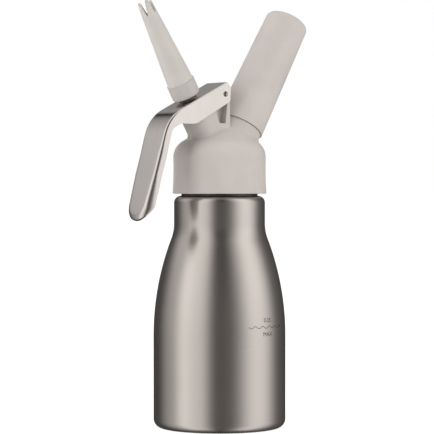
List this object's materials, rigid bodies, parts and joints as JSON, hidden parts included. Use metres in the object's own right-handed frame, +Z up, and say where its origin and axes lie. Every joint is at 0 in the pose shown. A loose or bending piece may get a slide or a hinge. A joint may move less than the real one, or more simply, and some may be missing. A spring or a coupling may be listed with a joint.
{
  "type": "cream whipper",
  "caption": "Cream whipper: brushed steel bottle, moulded screw-on head with a squeeze lever and valve, pronged decorator tip and tilted gas charger holder.",
  "frame": {"origin": "centre of the bottle's foot ring, on the bottle's axis", "axes": "+Z up the bottle's axis, +X towards the charger holder's side, -X towards the lever's handle and the decorator tip; Y = 0 is the plane of symmetry"},
  "size_m": [0.1223, 0.077, 0.2469],
  "materials": {
    "bottle_steel": "brushed round the axis, satin",
    "lever_steel": "brushed along the lever, satin",
    "head_plastic": "warm light grey moulding, matt",
    "holder_plastic": "warm light grey moulding, matt",
    "tip_plastic": "pale warm grey moulding, matt",
    "guide_plastic": "off-white moulding",
    "ring_aluminium": "plain turned",
    "turned_steel": "turned, bright",
    "turned_brass": "turned and nickel plated",
    "pin_steel": "rolled spring steel",
    "spring_steel": "drawn wire",
    "charger_steel": "drawn and zinc plated",
    "seal_rubber": "grey food-grade silicone"
  },
  "bodies": {
    "bottle": {"bottle": "bottle_steel"},
    "gasket": {"head_gasket": "seal_rubber"},
    "head": {"head_shell": "head_plastic", "thread_ring": "ring_aluminium", "valve_guide": "guide_plastic", "guide_oring": "seal_rubber", "valve_spring": "spring_steel", "lever_pin": "pin_steel", "charging_nipple": "turned_brass", "piercing_pin": "turned_steel", "charger_seal": "seal_rubber", "check_valve": "seal_rubber"},
    "lever": {"lever": "lever_steel"},
    "valve": {"valve_stem": "turned_steel", "stem_oring": "seal_rubber", "stem_foot": "turned_steel", "valve_seal": "seal_rubber"},
    "tip_washer": {"tip_seal": "seal_rubber"},
    "tip": {"decorator_tip": "tip_plastic"},
    "charger": {"gas_charger": "charger_steel"},
    "holder": {"charger_holder": "holder_plastic"}
  },
  "joints": [
    {"name": "head_lift", "type": "slide", "parent": "bottle", "child": "gasket", "axis": [0, 0, 1], "range_m": [0, 0.0135]},
    {"name": "head_unscrew", "type": "hinge", "parent": "gasket", "child": "head", "pos_m": [0, 0, 0.15], "axis": [0, 0, 1], "range_deg": [0, 1080]},
    {"name": "lever_press", "type": "hinge", "parent": "head", "child": "lever", "pos_m": [-0.0034, 0, 0.1938], "axis": [0, -1, 0], "range_deg": [0, 10]},
    {"name": "valve_slide", "type": "slide", "parent": "head", "child": "valve", "axis": [0.4939, 0, -0.8695], "range_m": [0, 0.00368], "stiffness_N_per_m": 800, "springref_m": -0.003, "deforming": ["valve_spring"]},
    {"name": "tip_lift", "type": "slide", "parent": "valve", "child": "tip_washer", "axis": [-0.4939, 0, 0.8695], "range_m": [0, 0.01125]},
    {"name": "tip_unscrew", "type": "hinge", "parent": "tip_washer", "child": "tip", "pos_m": [0, 0, 0.1507], "axis": [-0.4939, 0, 0.8695], "range_deg": [0, 1620]},
    {"name": "holder_lift", "type": "slide", "parent": "head", "child": "charger", "axis": [0.5, 0, 0.866], "range_m": [0, 0.0135]},
    {"name": "holder_unscrew", "type": "hinge", "parent": "charger", "child": "holder", "pos_m": [0, 0, 0.1507], "axis": [0.5, 0, 0.866], "range_deg": [0, 1620]}
  ],
  "couplings": [
    {"joint": "head_unscrew", "follows": "head_lift", "rad_per_m": 1396.2},
    {"joint": "lever_press", "follows": "valve_slide", "rad_per_m": 47.39},
    {"joint": "tip_unscrew", "follows": "tip_lift", "rad_per_m": 2513.2},
    {"joint": "holder_unscrew", "follows": "holder_lift", "rad_per_m": 2094.3}
  ]
}
